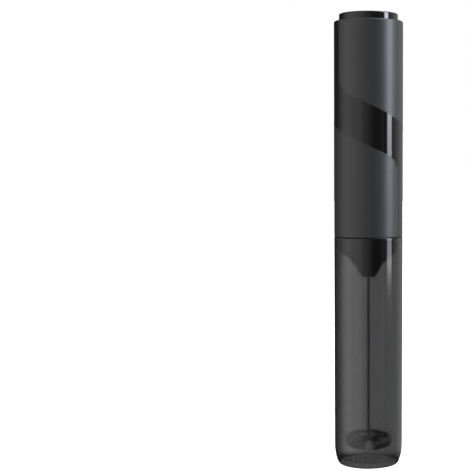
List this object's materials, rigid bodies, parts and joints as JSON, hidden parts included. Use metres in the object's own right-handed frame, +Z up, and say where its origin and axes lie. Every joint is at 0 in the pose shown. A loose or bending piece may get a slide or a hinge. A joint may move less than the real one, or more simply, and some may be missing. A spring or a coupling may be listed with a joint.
{
  "type": "milk frother",
  "caption": "hand-held battery milk frother with soft-touch handle, coiled wire whisk on a thin stem, and a smoked see-through cover that it stands in",
  "frame": {"origin": "centre of the cover's foot, on the surface it stands on", "axes": "+Z up along the handle, -Y the front where the ribbon runs down to the right, +X right"},
  "size_m": [0.038, 0.038, 0.2496],
  "materials": {
    "smoked_cover": "smoked clear moulded plastic",
    "soft_touch": "soft-touch coating",
    "gloss_black": "polished moulded plastic",
    "seal_rubber": "moulded rubber",
    "steel": "drawn wire",
    "motor_steel": "pressed sheet",
    "white_nylon": "moulded",
    "ferrite": "sintered",
    "bronze": "sintered",
    "copper": "drawn and stamped",
    "inner_plastic": "moulded",
    "contact_plate": "nickel plated",
    "cell_jacket": "plain printed film"
  },
  "bodies": {
    "cover": {"cover_tube": "smoked_cover"},
    "handle": {"grip_sleeve": "soft_touch", "gloss_band": "gloss_black", "barrel": "gloss_black", "nose_cone": "gloss_black", "shaft_seal": "seal_rubber", "mount_screws": "steel", "motor_can": "motor_steel", "motor_end_bell": "white_nylon", "motor_magnets": "ferrite", "motor_front_bush": "bronze", "motor_rear_bush": "bronze", "motor_brushes": "copper", "motor_mount": "inner_plastic", "motor_leads": "contact_plate", "battery_holder": "inner_plastic", "battery_left": "cell_jacket", "battery_right": "cell_jacket", "battery_contacts": "contact_plate", "battery_springs": "contact_plate"},
    "cap": {"battery_cap": "gloss_black", "cap_seal": "seal_rubber", "switch_base": "inner_plastic", "contact_pins": "copper", "bridge_contact": "contact_plate", "switch_leaf": "copper", "button_spring": "steel"},
    "button": {"button": "gloss_black"},
    "whisk": {"motor_shaft": "steel", "motor_armature": "motor_steel", "motor_windings": "copper", "commutator": "copper", "whisk_hub": "gloss_black", "whisk_stem": "steel", "whisk_frame": "steel", "whisk_coil": "steel"}
  },
  "joints": [
    {"name": "cover_pull", "type": "slide", "parent": "cover", "child": "handle", "axis": [0, 0, 1], "range_m": [0, 0.125]},
    {"name": "cap_lift", "type": "slide", "parent": "handle", "child": "cap", "axis": [0, 0, 1], "range_m": [0, 0.032]},
    {"name": "button_press", "type": "slide", "parent": "cap", "child": "button", "axis": [0, 0, -1], "range_m": [0, 0.0018], "stiffness_N_per_m": 400, "deforming": ["button_spring"]},
    {"name": "whisk_spin", "type": "hinge", "parent": "handle", "child": "whisk", "pos_m": [0, 0, 0.11], "axis": [0, 0, 1], "continuous": true}
  ]
}
